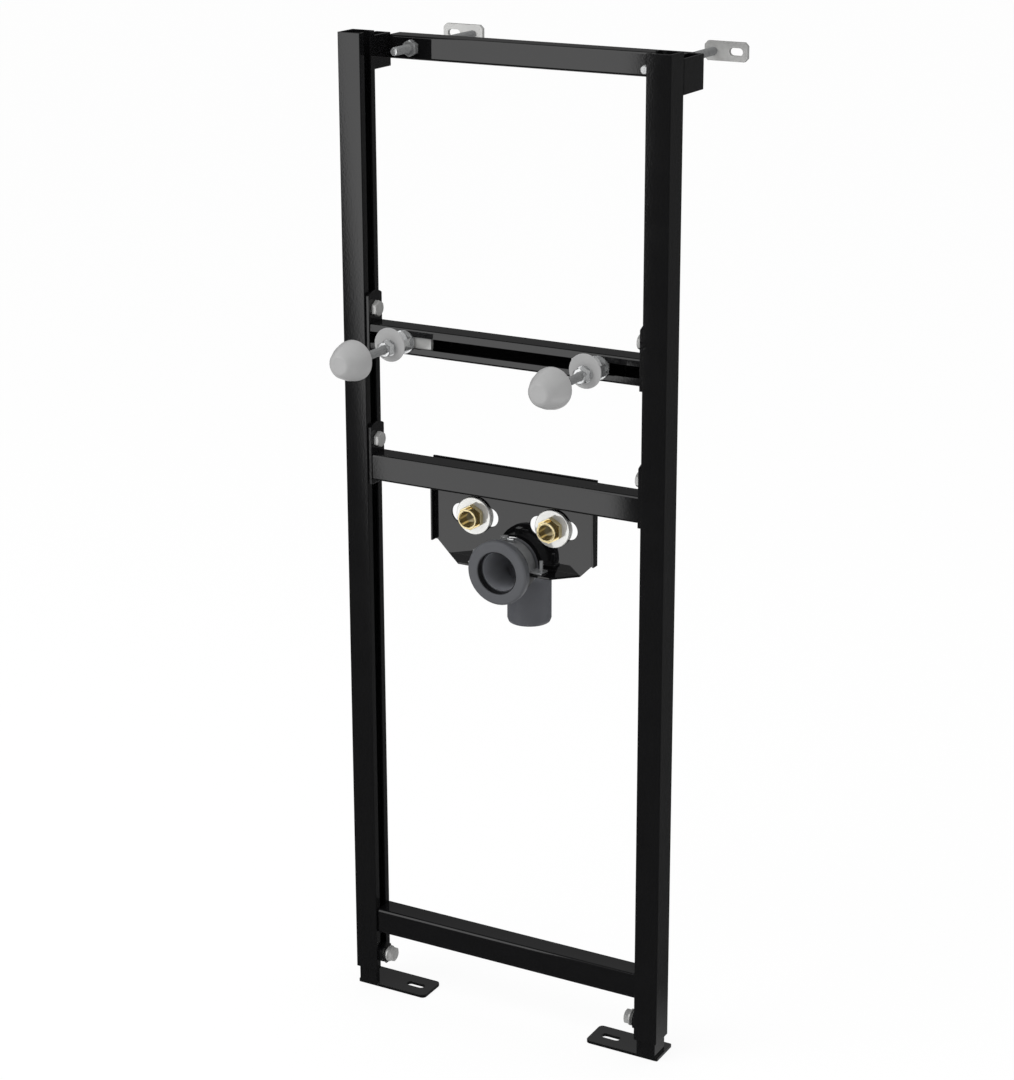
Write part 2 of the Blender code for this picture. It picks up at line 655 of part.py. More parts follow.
def fittings(brass, zinc):
    # threaded brass sleeves clamped in the plate's slots by a hexagon and a washer each side
    y0 = RAIL_BACK + CONTACT
    front = y0 - FITTING_PROJECTION
    rear = y0 + PLATE_THICKNESS + FITTING_TAIL
    washer_front = y0 - CONTACT - FITTING_WASHER_THICKNESS
    place = (-FITTING_X, 0, FITTING_Z)
    sleeve = tube(FITTING_RADIUS, FITTING_BORE_RADIUS, front, rear, 32)
    collar = hex_piece(FITTING_HEX_FLATS, FITTING_HEX_LENGTH, (FITTING_RADIUS + FITTING_BORE_RADIUS) / 2)
    collar = aimed(collar, "Z", (0, 0, washer_front - CONTACT - FITTING_HEX_LENGTH))
    back_start = y0 + PLATE_THICKNESS + CONTACT
    back_end = back_start + BACK_WASHER_THICKNESS
    back_nut = hex_piece(FITTING_HEX_FLATS, FITTING_HEX_LENGTH, (FITTING_RADIUS + FITTING_BORE_RADIUS) / 2)
    back_nut = aimed(back_nut, "Z", (0, 0, back_end + CONTACT))
    sleeve = joined(joined(sleeve, collar), back_nut)
    pair("brass_fitting", aimed(sleeve, "Y", place), brass, True)
    bore = FITTING_RADIUS + CONTACT
    back_washer = tube(BACK_WASHER_RADIUS, bore, back_start, back_end, 32)
    pair("back_washer", aimed(back_washer, "Y", place), zinc, True)
    washer = tube(FITTING_WASHER_RADIUS, bore, washer_front, y0 - CONTACT, 32)
    pair("fitting_washer", aimed(washer, "Y", place), zinc, True)


def grown_face(bm, face, keep=False):
    # extrudes one face in place and hands back the new one, with the old one kept as a cap or not
    grown = bmesh.ops.extrude_face_region(bm, geom=[face])
    if not keep:
        bmesh.ops.delete(bm, geom=[face], context="FACES_ONLY")
    return [item for item in grown["geom"] if isinstance(item, bmesh.types.BMFace)][0]


def pipe_section(radius, start_y, bend_radius, end_z, bevel=0, segments=32, steps=8):
    # a round bar from the front, turned down through a right angle at the back, its end bevelled
    bm = bmesh.new()
    ring = bmesh.ops.create_circle(bm, cap_ends=True, segments=segments, radius=radius)["verts"]
    bmesh.ops.rotate(bm, verts=ring, matrix=Matrix.Rotation(math.pi / 2, 3, "X"))
    bmesh.ops.translate(bm, verts=ring, vec=(0, start_y, DRAIN_Z))
    bend_start = DRAIN_BACK - bend_radius
    face = grown_face(bm, bm.faces[:][0], keep=True)
    bmesh.ops.translate(bm, verts=face.verts, vec=(0, bend_start - start_y, 0))
    pivot = (0, bend_start, DRAIN_Z - bend_radius)
    turn = Matrix.Rotation(-math.pi / 2 / steps, 3, "X")
    for step in range(steps):
        face = grown_face(bm, face)
        bmesh.ops.rotate(bm, verts=face.verts, cent=pivot, matrix=turn)
    face = grown_face(bm, face)
    bevel_length = SPIGOT_BEVEL_LENGTH if bevel else 0
    bmesh.ops.translate(bm, verts=face.verts, vec=(0, 0, end_z + bevel_length - (DRAIN_Z - bend_radius)))
    if bevel:
        face = grown_face(bm, face)
        bmesh.ops.translate(bm, verts=face.verts, vec=(0, 0, -bevel_length))
        share = (radius - bevel) / radius
        around = Matrix.Translation((0, -DRAIN_BACK, 0))
        bmesh.ops.scale(bm, verts=face.verts, vec=(share, share, 1), space=around)
    bmesh.ops.recalc_face_normals(bm, faces=bm.faces)
    return bm


def drain(plastic, seal_plastic, metal):
    start = SOCKET_REAR - CUT_OVERRUN
    body = pipe_section(DRAIN_RADIUS, start, DRAIN_BEND, DRAIN_OUTLET_Z, SPIGOT_BEVEL_DEPTH)
    socket = aimed(cylinder(SOCKET_RADIUS, SOCKET_FRONT, SOCKET_REAR, 36), "Y", (0, 0, DRAIN_Z))
    body = joined(body, socket)
    start = SOCKET_FRONT - CUT_OVERRUN
    bore = pipe_section(DRAIN_RADIUS - DRAIN_WALL, start, DRAIN_BEND, DRAIN_OUTLET_Z - CUT_OVERRUN)
    piece("drain_elbow", cut(body, bore), plastic, True)
    rear = SOCKET_FRONT - CONTACT
    front = rear - SEAL_LENGTH
    inner = SEAL_BORE_RADIUS
    profile = (
        arc(inner + SEAL_LIP_ROUND, front + SEAL_LIP_ROUND, SEAL_LIP_ROUND, 180, 270, 3)
        + arc(SEAL_RADIUS - SEAL_ROUND, front + SEAL_ROUND, SEAL_ROUND, -90, 0, 4)
        + [(SEAL_RADIUS, rear), (inner, rear)]
    )
    piece("drain_seal", aimed(turned(profile, 40), "Y", (0, 0, DRAIN_Z)), seal_plastic, True)
    pipe_clamp(metal)


def pipe_clamp(metal):
    # a strap over the socket with two threaded ends through the plate's shelf
    inner = SOCKET_RADIUS + CONTACT
    outer = inner + STRAP_THICKNESS
    rear = STRAP_FRONT + STRAP_WIDTH
    shelf_top = PLATE_BOTTOM + PLATE_THICKNESS
    foot_z = shelf_top + CONTACT
    ear_top = foot_z + STRAP_THICKNESS
    stud_x = outer + CLAMP_STUD_FROM_STRAP
    half = stud_x + CLAMP_STUD_RADIUS + STRAP_THICKNESS
    low = math.degrees(math.asin((foot_z - DRAIN_Z) / inner))
    high = math.degrees(math.asin((ear_top - DRAIN_Z) / outer))
    outline = (
        [(half, foot_z), (half, ear_top)]
        + arc(0, DRAIN_Z, outer, high, 180 - high, 20)
        + [(-half, ear_top), (-half, foot_z)]
        + arc(0, DRAIN_Z, inner, 180 - low, low, 20)
    )
    band = prism(outline, "Y", STRAP_FRONT, rear)
    for side in (-1, 1):
        stud = cylinder(CLAMP_STUD_RADIUS, -STRAP_THICKNESS / 2, CLAMP_STUD_ABOVE, 16)
        place = (side * stud_x, STRAP_FRONT + STRAP_WIDTH / 2, ear_top)
        band = joined(band, aimed(stud, "Z", place))
    piece("pipe_clamp", band, metal, True)


def build():
    black = material("black_coat", (0.012, 0.012, 0.013), 0.2, 0.0)
    zinc = material("zinc", (0.62, 0.63, 0.65), 0.3, 1.0)
    grey = material("grey_plastic", (0.38, 0.38, 0.38), 0.45, 0.0)
    pipe_grey = material("drain_plastic", (0.085, 0.088, 0.098), 0.35, 0.0)
    seal = material("seal_rubber", (0.10, 0.10, 0.105), 0.5, 0.0)
    brass = material("brass", (0.78, 0.62, 0.28), 0.25, 1.0)
    posts(black)
    feet(black)
    clamp_bolts(zinc)
    rails(black)
    brackets(black, zinc)
    corner_brackets(black)
    top_rail(black)
    wall_ties(zinc, zinc)
    basin_studs(zinc, grey)
    pipe_plate(black)
    fittings(brass, zinc)
    drain(pipe_grey, seal, zinc)


for old in list(bpy.data.objects):
    bpy.data.objects.remove(old)

FRAME = bpy.data.objects.new("frame", None)
FRAME.location = (POST_MIDDLE_X, -POST_MIDDLE_Y, 0)
bpy.context.scene.collection.objects.link(FRAME)
build()
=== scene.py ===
import json
import math

import bpy
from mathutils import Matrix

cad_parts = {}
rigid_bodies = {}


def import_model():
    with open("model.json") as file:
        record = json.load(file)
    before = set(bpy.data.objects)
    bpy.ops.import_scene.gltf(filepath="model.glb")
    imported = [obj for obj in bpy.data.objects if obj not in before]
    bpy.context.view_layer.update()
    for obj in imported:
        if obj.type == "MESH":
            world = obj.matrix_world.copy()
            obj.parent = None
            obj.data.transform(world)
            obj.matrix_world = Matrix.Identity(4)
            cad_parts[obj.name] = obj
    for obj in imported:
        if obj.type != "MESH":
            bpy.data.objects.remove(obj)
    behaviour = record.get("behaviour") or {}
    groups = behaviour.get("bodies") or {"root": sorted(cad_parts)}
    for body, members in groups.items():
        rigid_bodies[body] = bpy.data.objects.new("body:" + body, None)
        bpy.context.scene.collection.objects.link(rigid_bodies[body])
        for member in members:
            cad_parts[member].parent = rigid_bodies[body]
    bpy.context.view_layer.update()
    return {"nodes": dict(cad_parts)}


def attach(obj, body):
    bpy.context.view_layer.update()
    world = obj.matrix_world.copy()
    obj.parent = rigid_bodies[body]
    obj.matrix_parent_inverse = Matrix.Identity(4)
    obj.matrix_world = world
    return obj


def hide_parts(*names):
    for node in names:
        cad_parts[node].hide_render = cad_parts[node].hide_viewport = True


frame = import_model()
print("frame loaded:", len(frame["nodes"]), "nodes")

# how edges are rounded and faces shaded on every piece; lengths in metres, angles in degrees
shading = {
    "edgeSteps": 2, "edgeAngle": 35, "packedAngle": 50, "newAngle": 40, "flatsWeight": 100,
    "mergeWithin": 0.00001, "flatWithin": 1,
}


# selection and edit helpers, all by operators
def pick(*objects):
    bpy.ops.object.select_all(action="DESELECT")
    for thing in objects:
        thing.select_set(True)
    bpy.context.view_layer.objects.active = objects[0]


def edit(thing):
    pick(thing)
    bpy.ops.object.mode_set(mode="EDIT")
    bpy.ops.mesh.select_all(action="SELECT")


def leaveEdit():
    bpy.ops.object.mode_set(mode="OBJECT")


def applyModifiers(thing):
    pick(thing)
    for modifier in list(thing.modifiers):
        bpy.ops.object.modifier_apply(modifier=modifier.name)


def turn(axis, angle):
    # turns what is selected in edit mode about the origin
    bpy.ops.transform.rotate(
        value=math.radians(angle), orient_axis=axis, center_override=(0, 0, 0))


def alongY(thing, place):
    # lays a piece made about Z along Y, and puts its place in its mesh
    edit(thing)
    turn("X", 90)
    bpy.ops.transform.translate(value=place)
    leaveEdit()


def selectEnds(sides):
    # in edit mode, the faces with this many sides; face mode keeps the wall between them out
    bpy.ops.mesh.select_mode(type="FACE")
    bpy.ops.mesh.select_all(action="DESELECT")
    bpy.ops.mesh.select_face_by_sides(number=sides)


def selectWhole():
    bpy.ops.mesh.select_mode(type="VERT")
    bpy.ops.mesh.select_all(action="SELECT")


def softenEdges(thing, width, angle):
    soften = thing.modifiers.new("soften", "BEVEL")
    soften.width = width
    soften.segments = shading["edgeSteps"]
    soften.limit_method = "ANGLE"
    soften.angle_limit = math.radians(angle)


def smooth(thing, angle):
    pick(thing)
    bpy.ops.object.shade_smooth_by_angle(angle=math.radians(angle))


def boundsOf(node):
    corners = [vertex.co for vertex in frame["nodes"][node].data.vertices]
    return [[end(corner[axis] for corner in corners) for axis in range(3)] for end in (min, max)]


def pieceName(node):
    words = node.split("_")
    return words[0] + "".join(word.capitalize() for word in words[1:])


def both(name):
    return ["left_" + name, "right_" + name]


# the finishes: two tones in broad patches, a roughness that follows them, and a fine grain
finishMix = {"patchDetail": 3, "darkUpTo": 0.3, "lightFrom": 0.7, "grainDetail": 2, "ior": 1.5}


def noiseOf(tree, place, scale, detail):
    noise = tree.nodes.new("ShaderNodeTexNoise")
    noise.inputs["Scale"].default_value = scale
    noise.inputs["Detail"].default_value = detail
    tree.links.new(place.outputs["Object"], noise.inputs["Vector"])
    return noise.outputs["Fac"]


def newFinish(name, look):
    material = bpy.data.materials.new(name)
    material.use_nodes = True
    tree = material.node_tree
    shader = tree.nodes["Principled BSDF"]
    shader.inputs["Metallic"].default_value = look.get("metallic", 0)
    shader.inputs["IOR"].default_value = look.get("ior", finishMix["ior"])
    place = tree.nodes.new("ShaderNodeTexCoord")
    patches = noiseOf(tree, place, look["patchScale"], finishMix["patchDetail"])
    tint = tree.nodes.new("ShaderNodeValToRGB")
    tint.color_ramp.elements[0].position = finishMix["darkUpTo"]
    tint.color_ramp.elements[1].position = finishMix["lightFrom"]
    tint.color_ramp.elements[0].color = (*look["dark"], 1)
    tint.color_ramp.elements[1].color = (*look["light"], 1)
    tree.links.new(patches, tint.inputs["Fac"])
    tree.links.new(tint.outputs["Color"], shader.inputs["Base Color"])
    gloss = tree.nodes.new("ShaderNodeMapRange")
    gloss.inputs["To Min"].default_value = look["roughness"][0]
    gloss.inputs["To Max"].default_value = look["roughness"][1]
    tree.links.new(patches, gloss.inputs["Value"])
    tree.links.new(gloss.outputs["Result"], shader.inputs["Roughness"])
    grain = noiseOf(tree, place, look["grainScale"], finishMix["grainDetail"])
    bump = tree.nodes.new("ShaderNodeBump")
    bump.inputs["Strength"].default_value = look["grain"]
    bump.inputs["Distance"].default_value = look["grainDepth"]
    tree.links.new(grain, bump.inputs["Height"])
    tree.links.new(bump.outputs["Normal"], shader.inputs["Normal"])
    return material


finishLooks = {
    "blackCoat": {
        "dark": (0.0038, 0.0038, 0.0041), "light": (0.0046, 0.0046, 0.0049),
        "roughness": (0.02, 0.035), "ior": 1.6,
        "patchScale": 30, "grainScale": 420, "grain": 0.05, "grainDepth": 0.0001,
    },
    "zincPlate": {
        "dark": (0.68, 0.69, 0.70), "light": (0.78, 0.79, 0.79),
        "roughness": (0.07, 0.12), "metallic": 0.8,
        "patchScale": 160, "grainScale": 2400, "grain": 0.1, "grainDepth": 0.00004,
    },
    "satinZinc": {
        "dark": (0.54, 0.54, 0.53), "light": (0.60, 0.60, 0.59),
        "roughness": (0.16, 0.22), "metallic": 0.5,
        "patchScale": 160, "grainScale": 2400, "grain": 0.1, "grainDepth": 0.00004,
    },
    "nickelPlate": {
        "dark": (0.84, 0.84, 0.82), "light": (0.90, 0.90, 0.87),
        "roughness": (0.08, 0.13), "metallic": 0.5,
        "patchScale": 160, "grainScale": 2400, "grain": 0.1, "grainDepth": 0.00004,
    },
    "strapSteel": {
        "dark": (0.46, 0.47, 0.48), "light": (0.52, 0.53, 0.54),
        "roughness": (0.12, 0.2), "metallic": 0.6,
        "patchScale": 120, "grainScale": 1800, "grain": 0.1, "grainDepth": 0.00004,
    },
    # black rubber; the clamp's piece also fills the gap before its band with it, as painted
    # shade
    "liningRubberAndGapShade": {
        "dark": (0.008, 0.008, 0.009), "light": (0.012, 0.012, 0.013),
        "roughness": (0.4, 0.55),
        "patchScale": 80, "grainScale": 1500, "grain": 0.15, "grainDepth": 0.0001,
    },
    # paler than drainPlastic: painted light inside the drain elbow's bore
    "borePaintedLight": {
        "dark": (0.225, 0.23, 0.25), "light": (0.25, 0.256, 0.276),
        "roughness": (0.3, 0.38),
        "patchScale": 50, "grainScale": 1300, "grain": 0.1, "grainDepth": 0.0001,
    },
    "capPlastic": {
        "dark": (0.355, 0.355, 0.355), "light": (0.375, 0.375, 0.375),
        "roughness": (0.26, 0.34),
        "patchScale": 60, "grainScale": 1500, "grain": 0.15, "grainDepth": 0.0001,
    },
    "drainPlastic": {
        "dark": (0.085, 0.088, 0.098), "light": (0.092, 0.095, 0.105),
        "roughness": (0.28, 0.36),
        "patchScale": 50, "grainScale": 1300, "grain": 0.15, "grainDepth": 0.0001,
    },
    "sealRubber": {
        "dark": (0.088, 0.091, 0.099), "light": (0.096, 0.099, 0.107),
        "roughness": (0.38, 0.5),
        "patchScale": 70, "grainScale": 1800, "grain": 0.2, "grainDepth": 0.0001,
    },
    "brassBar": {
        "dark": (0.68, 0.55, 0.29), "light": (0.82, 0.71, 0.43),
        "roughness": (0.06, 0.10), "metallic": 0.97,
        "patchScale": 140, "grainScale": 2200, "grain": 0.15, "grainDepth": 0.00005,
    },
}
finishes = {name: newFinish(name, look) for name, look in finishLooks.items()}
print("finishes made:", len(finishes))


def settle(thing, finish, node=None):
    # gives a finished piece its look and its body, and its node where it replaces one
    thing.data.materials.clear()
    thing.data.materials.append(finishes[finish])
    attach(thing, "root")
    if node:
        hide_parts(node)


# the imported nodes, group by group; "edge" is how far their edges are rounded
dressing = [
    {
        "title": "black steel", "finish": "blackCoat", "slot": "black_coat", "edge": 0.0004,
        "nodes": both("post") + both("foot") + both("bolt_rail_bracket")
        + both("pipe_rail_bracket") + both("corner_bracket") + ["pipe_plate"],
    },
    {
        "title": "rails", "finish": "blackCoat", "slot": "black_coat", "edge": 0.0004,
        "nodes": ["bolt_rail", "bottom_rail", "pipe_rail", "top_rail"],
        "edgeAngle": 20, "rolled": {"packedRadius": 0.001, "slack": 0.0001, "radius": 0.0026},
    },
    {
        "title": "clamp", "finish": "strapSteel", "slot": "zinc", "edge": 0.0003,
        "nodes": ["pipe_clamp"],
    },
    {
        "title": "nuts", "finish": "zincPlate", "slot": "zinc", "edge": 0.0003,
        "nodes": both("rod_front_nut") + both("rod_rear_nut") + both("lock_nut")
        + both("basin_nut"),
    },
    {
        "title": "plates and screws", "finish": "satinZinc", "slot": "zinc", "edge": 0.0003,
        "nodes": both("wall_plate") + both("slide_plate") + both("foot_bolt")
        + both("bolt_rail_bolt") + both("pipe_rail_bolt"),
    },
    {
        "title": "washers", "finish": "nickelPlate", "slot": "zinc", "edge": 0.0008,
        "nodes": both("fitting_washer") + both("back_washer"),
    },
    {
        "title": "caps", "finish": "capPlastic", "slot": "grey_plastic", "edge": 0.0005,
        "nodes": both("stud_cap") + both("basin_washer"),
    },
    {
        "title": "drain", "finish": "drainPlastic", "slot": "drain_plastic", "edge": 0.0005,
        "nodes": ["drain_elbow"],
    },
    {
        "title": "seal", "finish": "sealRubber", "slot": "seal_rubber", "edge": 0.0005,
        "nodes": ["drain_seal"],
    },
    {
        "title": "sleeves", "finish": "brassBar", "slot": "brass", "edge": 0.0003,
        "nodes": both("brass_fitting"),
    },
]


def rollEdges(thing, rail):
    # widens the small outer arcs of a packed rail's profile to the photograph's rolled edges
    spots = [vertex.co for vertex in thing.data.vertices]
    ys, zs = [[end(spot[axis] for spot in spots) for end in (min, max)] for axis in (1, 2)]
    reach = rail["packedRadius"] + rail["slack"]
    grow = rail["radius"] / rail["packedRadius"]
    for y in ys:
        for z in zs:
            edit(thing)
            bpy.ops.mesh.select_all(action="DESELECT")
            leaveEdit()
            for vertex in thing.data.vertices:
                vertex.select = max(abs(vertex.co.y - y), abs(vertex.co.z - z)) < reach
            bpy.ops.object.mode_set(mode="EDIT")
            bpy.ops.transform.resize(value=(1, grow, grow), center_override=(0, y, z))
            leaveEdit()


def dress(node, group):
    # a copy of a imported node, merged, with rounded edges that leave the flats shaded flat
    thing = bpy.data.objects.new(pieceName(node), frame["nodes"][node].data.copy())
    bpy.context.scene.collection.objects.link(thing)
    edit(thing)
    bpy.ops.mesh.remove_doubles(threshold=shading["mergeWithin"])
    bpy.ops.mesh.dissolve_limited(angle_limit=math.radians(shading["flatWithin"]))
    leaveEdit()
    if "rolled" in group:
        rollEdges(thing, group["rolled"])
    softenEdges(thing, group["edge"], group.get("edgeAngle", shading["edgeAngle"]))
    weigh = thing.modifiers.new("weigh", "WEIGHTED_NORMAL")
    weigh.keep_sharp = True
    weigh.weight = shading["flatsWeight"]
    smooth(thing, shading["packedAngle"])
    applyModifiers(thing)
    settle(thing, group["finish"], node)


for group in dressing:
    for nodeName in group["nodes"]:
        dress(nodeName, group)
    print("dressed:", group["title"], len(group["nodes"]))

# a thread's ridge starts as a three-sided circle of radius 1, which is 1.5 deep and 1.73 wide
ridge = {"sides": 3, "deep": 1.5, "pitchRoom": 1.85}


def threadCoil(name, thread, turns):
    # a ridge of triangular section wound about Z from height zero
    depth = thread["depth"] / ridge["deep"]
    bpy.ops.mesh.primitive_circle_add(vertices=ridge["sides"], radius=1, location=(0, 0, 0))
    coil = bpy.context.object
    coil.name = name
    edit(coil)
    turn("X", 90)
    turn("Y", 90)
    bpy.ops.transform.resize(
        value=(depth, 1, thread["pitch"] / ridge["pitchRoom"]), center_override=(0, 0, 0))
    bpy.ops.transform.translate(value=(thread["radius"] - depth, 0, 0))
    leaveEdit()
    wind = coil.modifiers.new("wind", "SCREW")
    wind.axis = "Z"
    wind.screw_offset = thread["pitch"]
    wind.iterations = turns
    wind.steps = thread["steps"]
    wind.render_steps = thread["steps"]
    applyModifiers(coil)
    edit(coil)
    bpy.ops.mesh.fill_holes(sides=0)
    bpy.ops.mesh.select_all(action="SELECT")
    bpy.ops.mesh.normals_make_consistent(inside=False)
    leaveEdit()
    return coil


# the basin studs and wall rods, along Y
barShape = {
    "radius": 0.005, "depth": 0.0006, "pitch": 0.0015, "steps": 20,
    "sides": 32, "chamfer": 0.0002,
}


def threadedBar(node):
    # a round core with a wound thread, in the place of a packed bar
    bar = barShape
    low, high = boundsOf(node)
    length = high[1] - low[1]
    middle = [(low[axis] + high[axis]) / 2 for axis in range(3)]
    bpy.ops.mesh.primitive_cylinder_add(
        vertices=bar["sides"], radius=bar["radius"] - bar["depth"], depth=length,
        location=(0, 0, 0))
    core = bpy.context.object
    edit(core)
    selectEnds(bar["sides"])
    bpy.ops.mesh.bevel(offset=bar["chamfer"], segments=1, affect="EDGES")
    selectWhole()
    leaveEdit()
    turns = int((length - 2 * bar["pitch"]) / bar["pitch"])
    coil = threadCoil(node, bar, turns)
    coil.location = (0, 0, -turns * bar["pitch"] / 2)
    pick(core, coil)
    bpy.ops.object.join()
    core.name = pieceName(node)
    alongY(core, middle)
    smooth(core, shading["newAngle"])
    settle(core, "zincPlate", node)


for nodeName in both("basin_stud") + both("wall_rod"):
    threadedBar(nodeName)
print("studs and rods threaded")

ringSides = 64


def finishEdges(thing, width):
    softenEdges(thing, width, shading["edgeAngle"])
    smooth(thing, shading["newAngle"])
    applyModifiers(thing)


def ringAlongY(name, ringShape, front, rear, axis):
    # a plain ring about an axis along Y, its two faces opened by an inset and a bridge
    bpy.ops.mesh.primitive_cylinder_add(
        vertices=ringSides, radius=ringShape["radius"], depth=rear - front, location=(0, 0, 0))
    ring = bpy.context.object
    ring.name = name
    edit(ring)
    selectEnds(ringSides)
    width = (ringShape["radius"] - ringShape["bore"]) * math.cos(math.pi / ringSides)
    bpy.ops.mesh.inset(thickness=width, use_individual=True)
    bpy.ops.mesh.bridge_edge_loops()
    selectWhole()
    bpy.ops.mesh.normals_make_consistent(inside=False)
    leaveEdit()
    alongY(ring, (axis[0], (front + rear) / 2, axis[1]))
    finishEdges(ring, ringShape["edge"])
    return ring


# what the drain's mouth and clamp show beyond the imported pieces
elbowFront = boundsOf("drain_elbow")[0][1]
sealLow, sealHigh = boundsOf("drain_seal")
clampLow, clampHigh = boundsOf("pipe_clamp")
drainAxis = ((sealLow[0] + sealHigh[0]) / 2, (sealLow[2] + sealHigh[2]) / 2)

lipShape = {"radius": 0.0257, "bore": 0.0248, "behindFront": 0.0012, "edge": 0.0002}


def drainLip():
    # the black rubber just inside the seal
    front = sealLow[1] + lipShape["behindFront"]
    lip = ringAlongY("drainLip", lipShape, front, sealHigh[1], drainAxis)
    settle(lip, "liningRubberAndGapShade")


boreShape = {
    "radius": 0.0236, "skin": 0.0003, "straight": 0.0423, "bend": 0.0285, "down": 0.052,
    "sides": 48, "bendSteps": 14,
}


def drainBore():
    # a thin skin just inside the elbow's bore, paler than the elbow: painted light, standing in
    # for the light that fills the bore
    bore = boreShape
    x, z = drainAxis
    bendStart = elbowFront + bore["straight"]
    bpy.ops.mesh.primitive_circle_add(
        vertices=bore["sides"], radius=bore["radius"], location=(0, 0, 0))
    skin = bpy.context.object
    skin.name = "drainBore"
    alongY(skin, (x, elbowFront, z))
    edit(skin)
    bpy.ops.mesh.extrude_region_move(
        TRANSFORM_OT_translate={"value": (0, bore["straight"], 0)})
    bpy.ops.mesh.spin(
        steps=bore["bendSteps"], angle=math.radians(90), axis=(1, 0, 0),
        center=(x, bendStart, z - bore["bend"]))
    bpy.ops.mesh.extrude_region_move(
        TRANSFORM_OT_translate={"value": (0, 0, -bore["down"])})
    bpy.ops.mesh.select_all(action="SELECT")
    bpy.ops.mesh.remove_doubles(threshold=shading["mergeWithin"])
    bpy.ops.mesh.normals_make_consistent(inside=False)
    leaveEdit()
    wall = skin.modifiers.new("wall", "SOLIDIFY")
    wall.thickness = bore["skin"]
    applyModifiers(skin)
    smooth(skin, shading["packedAngle"])
    settle(skin, "borePaintedLight")


rubberAndGapShadeShape = {
    "radius": 0.0329, "bore": 0.0311, "behindElbow": 0.0012, "behindClamp": 0.0016,
    "edge": 0.0002,
}


def clampRubberAndGapShade():
    # the dark rubber that shows on either side of the clamp's band; towards the elbow's front it
    # runs on past the band and fills the gap between the seal's ring and the band, painted shade
    # in that gap
    front = elbowFront + rubberAndGapShadeShape["behindElbow"]
    rear = clampHigh[1] + rubberAndGapShadeShape["behindClamp"]
    rubber = ringAlongY("clampRubberAndGapShade", rubberAndGapShadeShape, front, rear, drainAxis)
    settle(rubber, "liningRubberAndGapShade")


drainLip()
drainBore()
clampRubberAndGapShade()
print("drain's mouth and clamp lined")

# the clamp's joint on top of its band: a small block with a screw in it, lying along X
jointShape = {
    "block": (0.0072, 0.0085, 0.0062), "fromAxis": -0.0062, "behindFront": 0.0012,
    "sunk": 0.0008, "edge": 0.0005,
    "screwRadius": 0.0021, "screwLength": 0.009, "screwSides": 24,
}


def clampJoint():
    joint = jointShape
    wide, deep, high = joint["block"]
    x = drainAxis[0] + joint["fromAxis"] + wide / 2
    y = clampLow[1] + joint["behindFront"] + deep / 2
    z = clampHigh[2] - joint["sunk"] + high / 2
    bpy.ops.mesh.primitive_cube_add(size=1, location=(0, 0, 0))
    block = bpy.context.object
    edit(block)
    bpy.ops.transform.resize(value=joint["block"], center_override=(0, 0, 0))
    bpy.ops.transform.translate(value=(x, y, z))
    leaveEdit()
    bpy.ops.mesh.primitive_cylinder_add(
        vertices=joint["screwSides"], radius=joint["screwRadius"], depth=joint["screwLength"],
        location=(0, 0, 0))
    screw = bpy.context.object
    edit(screw)
    turn("Y", 90)
    bpy.ops.transform.translate(value=(x + (wide + joint["screwLength"]) / 2, y, z))
    leaveEdit()
    pick(block, screw)
    bpy.ops.object.join()
    block.name = "clampJoint"
    finishEdges(block, joint["edge"])
    settle(block, "zincPlate")


clampJoint()
print("clamp joint made")

# the pipe sleeves' threads and front rims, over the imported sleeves
sleeveThread = {
    "radius": 0.0121, "depth": 0.0011, "pitch": 0.0018, "steps": 40, "turns": 3,
    "behindFront": 0.0022,
}
sleeveRim = {"radius": 0.0121, "bore": 0.0096, "length": 0.0016, "edge": 0.0003}


def sleeveFront(node):
    low, high = boundsOf(node)
    axis = ((low[0] + high[0]) / 2, (low[2] + high[2]) / 2)
    thread = sleeveThread
    coil = threadCoil(pieceName(node) + "Thread", thread, thread["turns"])
    rear = low[1] + thread["behindFront"] + thread["turns"] * thread["pitch"]
    alongY(coil, (axis[0], rear, axis[1]))
    smooth(coil, shading["newAngle"])
    settle(coil, "brassBar")
    rimRear = low[1] + sleeveRim["length"]
    rim = ringAlongY(pieceName(node) + "Rim", sleeveRim, low[1], rimRear, axis)
    settle(rim, "brassBar")


for nodeName in both("brass_fitting"):
    sleeveFront(nodeName)
print("pipe sleeves threaded")

# the photograph's posts mirror neither the caps nor the wall rods and their front nuts
for nodeName in both("stud_cap") + both("wall_rod") + both("rod_front_nut"):
    bpy.data.objects[pieceName(nodeName)].visible_glossy = False


# node helpers for the floor and the world
def mathOf(tree, operation, *values):
    # one Math node; each value is a socket to link or a number to set
    step = tree.nodes.new("ShaderNodeMath")
    step.operation = operation
    for place, value in enumerate(values):
        if isinstance(value, (int, float)):
            step.inputs[place].default_value = value
        else:
            tree.links.new(value, step.inputs[place])
    return step.outputs["Value"]


def combine(tree, operation, values):
    total = values[0]
    for value in values[1:]:
        total = mathOf(tree, operation, total, value)
    return total


def rampOf(tree, value, start, end):
    # rises smoothly from 0 at the start angle to 1 at the end angle
    ramp = tree.nodes.new("ShaderNodeMapRange")
    ramp.interpolation_type = "SMOOTHSTEP"
    descends = start > end
    ramp.inputs["From Min"].default_value = math.radians(end if descends else start)
    ramp.inputs["From Max"].default_value = math.radians(start if descends else end)
    ramp.inputs["To Min"].default_value = 1 if descends else 0
    ramp.inputs["To Max"].default_value = 0 if descends else 1
    tree.links.new(value, ramp.inputs["Value"])
    return ramp.outputs["Result"]


floorLook = {"size": 80, "colour": (0.93, 0.93, 0.93), "roughness": 0.8, "glow": 0.9}


